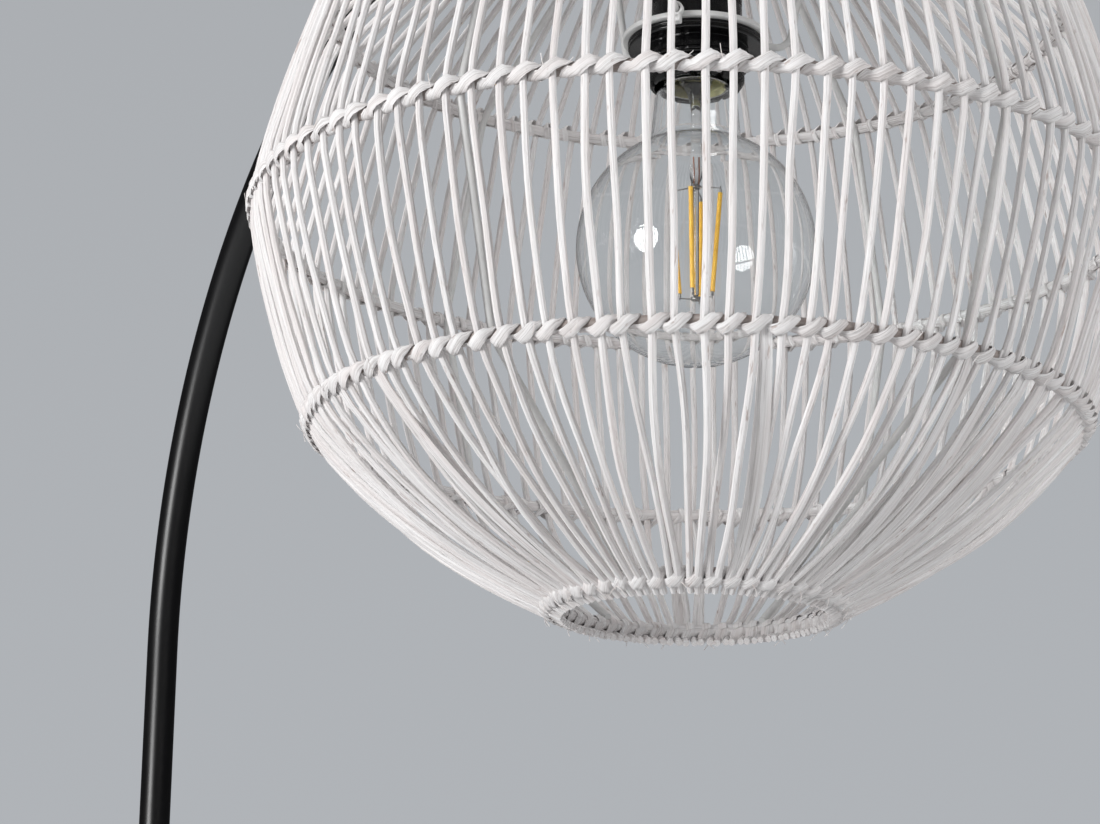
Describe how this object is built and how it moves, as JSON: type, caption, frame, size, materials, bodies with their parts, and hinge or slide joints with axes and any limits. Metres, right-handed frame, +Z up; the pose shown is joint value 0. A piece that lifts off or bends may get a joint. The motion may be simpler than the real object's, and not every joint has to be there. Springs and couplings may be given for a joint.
{
  "type": "arched floor lamp with rattan shade",
  "caption": "Free-standing floor lamp: a round weighted base, a tube pole that arches over, and a barrel-shaped openwork rattan shade hanging round a globe bulb.",
  "frame": {"origin": "middle of the base's underside, on the floor, on the pole's axis", "axes": "+Z up along the pole, +X from the pole to the shade's axis"},
  "size_m": [0.853, 0.3594, 1.62],
  "materials": {
    "black_metal": "satin",
    "black_plastic": "gloss",
    "cast_iron": "rough",
    "steel": "satin",
    "white_metal": "satin",
    "white_rattan": "matt",
    "white_plastic": "satin",
    "rubber": "matt",
    "ceramic": "satin",
    "brass": "satin",
    "nickel": "satin",
    "clear_glass": "polished",
    "filament_coating": "matt"
  },
  "bodies": {
    "stand": {"base_cover": "black_metal", "base_pad": "rubber", "base_weight": "cast_iron", "base_stud": "steel", "base_washer": "steel", "base_nut": "steel", "cord_gland": "rubber", "pole_socket": "black_metal", "socket_screw": "steel", "lower_pole": "black_metal", "middle_pole": "black_metal", "pole_joiner": "steel", "swivel_joiner": "steel", "lower_joint_screw": "black_metal", "middle_joint_screw": "black_metal", "swivel_joint_screw": "black_metal", "swivel_washer": "white_plastic", "flex_in_pole": "rubber"},
    "arm": {"arm_tube": "black_metal", "swivel_screw": "black_metal", "flex_in_arm": "rubber", "holder_shell": "black_plastic", "holder_cap": "black_plastic", "holder_insert": "ceramic", "screw_shell": "brass", "centre_contact": "brass", "live_terminal": "brass", "neutral_terminal": "brass", "live_terminal_screw": "steel", "neutral_terminal_screw": "steel", "live_core": "white_plastic", "neutral_core": "white_plastic", "arm_end_bush": "steel", "holder_nipple": "steel", "lock_nut": "black_metal", "cable_tie": "white_plastic", "bottom_ring_wire": "white_metal", "lower_ring_wire": "white_metal", "middle_ring_wire": "white_metal", "upper_ring_wire": "white_metal", "top_ring_wire": "white_metal", "upright_wire_1": "white_metal", "upright_wire_2": "white_metal", "upright_wire_3": "white_metal", "upright_wire_4": "white_metal", "shade_carrier": "white_metal", "rattan_cage": "white_rattan"},
    "ring_nut": {"ring_nut": "black_plastic"},
    "bulb": {"bulb_glass": "clear_glass", "bulb_cap": "nickel", "bulb_insulator": "black_plastic", "bulb_contact": "nickel", "bulb_stem": "clear_glass", "filament_hanger": "steel", "filament_foot": "steel", "filament_1": "filament_coating", "filament_2": "filament_coating", "filament_3": "filament_coating", "filament_4": "filament_coating"}
  },
  "joints": [
    {"name": "arm_swivel", "type": "hinge", "parent": "stand", "child": "arm", "pos_m": [0, 0, 1.141], "axis": [0, 0, 1], "range_deg": [-180, 180]},
    {"name": "bulb_travel", "type": "slide", "parent": "arm", "child": "bulb", "axis": [0, 0, -1], "range_m": [0, 0.028]},
    {"name": "ring_nut_travel", "type": "slide", "parent": "arm", "child": "ring_nut", "axis": [0, 0, -1], "range_m": [0, 0.02]}
  ]
}
